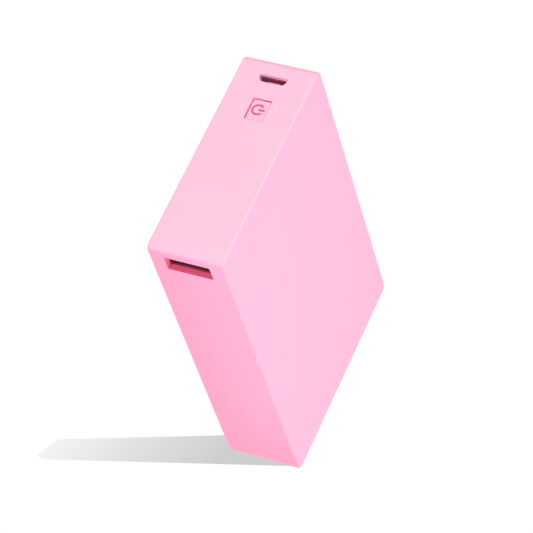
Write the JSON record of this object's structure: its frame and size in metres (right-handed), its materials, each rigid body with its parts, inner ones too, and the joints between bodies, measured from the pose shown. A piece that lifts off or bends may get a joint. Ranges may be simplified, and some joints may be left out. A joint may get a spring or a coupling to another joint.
{
  "type": "power bank",
  "caption": "Slab-shaped pocket power bank with a rounded-edge plastic case, a USB-A outlet, a micro-USB inlet and a flush power button on its narrow sides.",
  "frame": {"origin": "centre of the back cover's outer face, which the power bank lies on", "axes": "+Y along the length, towards the micro-USB inlet and the power button; -X towards the USB-A outlet; +Z through the thickness, from the back cover to the plain front face"},
  "size_m": [0.066, 0.105, 0.0225],
  "materials": {
    "case_plastic": "satin moulded pink plastic",
    "button_plastic": "satin moulded pink plastic, with a printed power symbol",
    "icon_ink": "thin printed ink",
    "circuit_board": "green solder mask",
    "socket_metal": "plated sheet steel",
    "contact_metal": "gold-plated spring contacts",
    "black_plastic": "moulded black plastic",
    "chip_plastic": "moulded component body",
    "capacitor_can": "drawn aluminium can",
    "cell_pouch": "aluminium laminate pouch",
    "tab_metal": "nickel tab",
    "adhesive_tape": "white double-sided tape",
    "foam": "grey closed-cell foam",
    "lead_red": "silicone insulation",
    "lead_black": "silicone insulation"
  },
  "bodies": {
    "case": {"main_shell": "case_plastic", "back_cover": "case_plastic", "main_board": "circuit_board", "usb_a_shell": "socket_metal", "usb_a_insulator": "black_plastic", "usb_a_contact_1": "contact_metal", "usb_a_contact_2": "contact_metal", "usb_a_contact_3": "contact_metal", "usb_a_contact_4": "contact_metal", "micro_usb_shell": "socket_metal", "micro_usb_tongue": "black_plastic", "switch_body": "black_plastic", "boost_inductor": "chip_plastic", "power_controller": "chip_plastic", "mosfet_1": "chip_plastic", "mosfet_2": "chip_plastic", "input_capacitor": "capacitor_can", "output_capacitor": "capacitor_can", "cell_front": "cell_pouch", "cell_back": "cell_pouch", "cell_front_tab_positive": "tab_metal", "cell_front_tab_negative": "tab_metal", "cell_back_tab_positive": "tab_metal", "cell_back_tab_negative": "tab_metal", "cell_tape": "adhesive_tape", "foam_pad_front": "foam", "foam_pad_back": "foam", "protection_board": "circuit_board", "protection_chip": "chip_plastic", "battery_lead_positive": "lead_red", "battery_lead_negative": "lead_black"},
    "button": {"power_button": "button_plastic"},
    "plunger": {"switch_plunger": "black_plastic"}
  },
  "joints": [
    {"name": "button_press", "type": "slide", "parent": "case", "child": "button", "axis": [0, -1, 0], "range_m": [0, 0.0003], "stiffness_N_per_m": 1500},
    {"name": "plunger_press", "type": "slide", "parent": "case", "child": "plunger", "axis": [0, -1, 0], "range_m": [0, 0.0003]}
  ],
  "couplings": [
    {"joint": "plunger_press", "follows": "button_press", "ratio": 1}
  ]
}
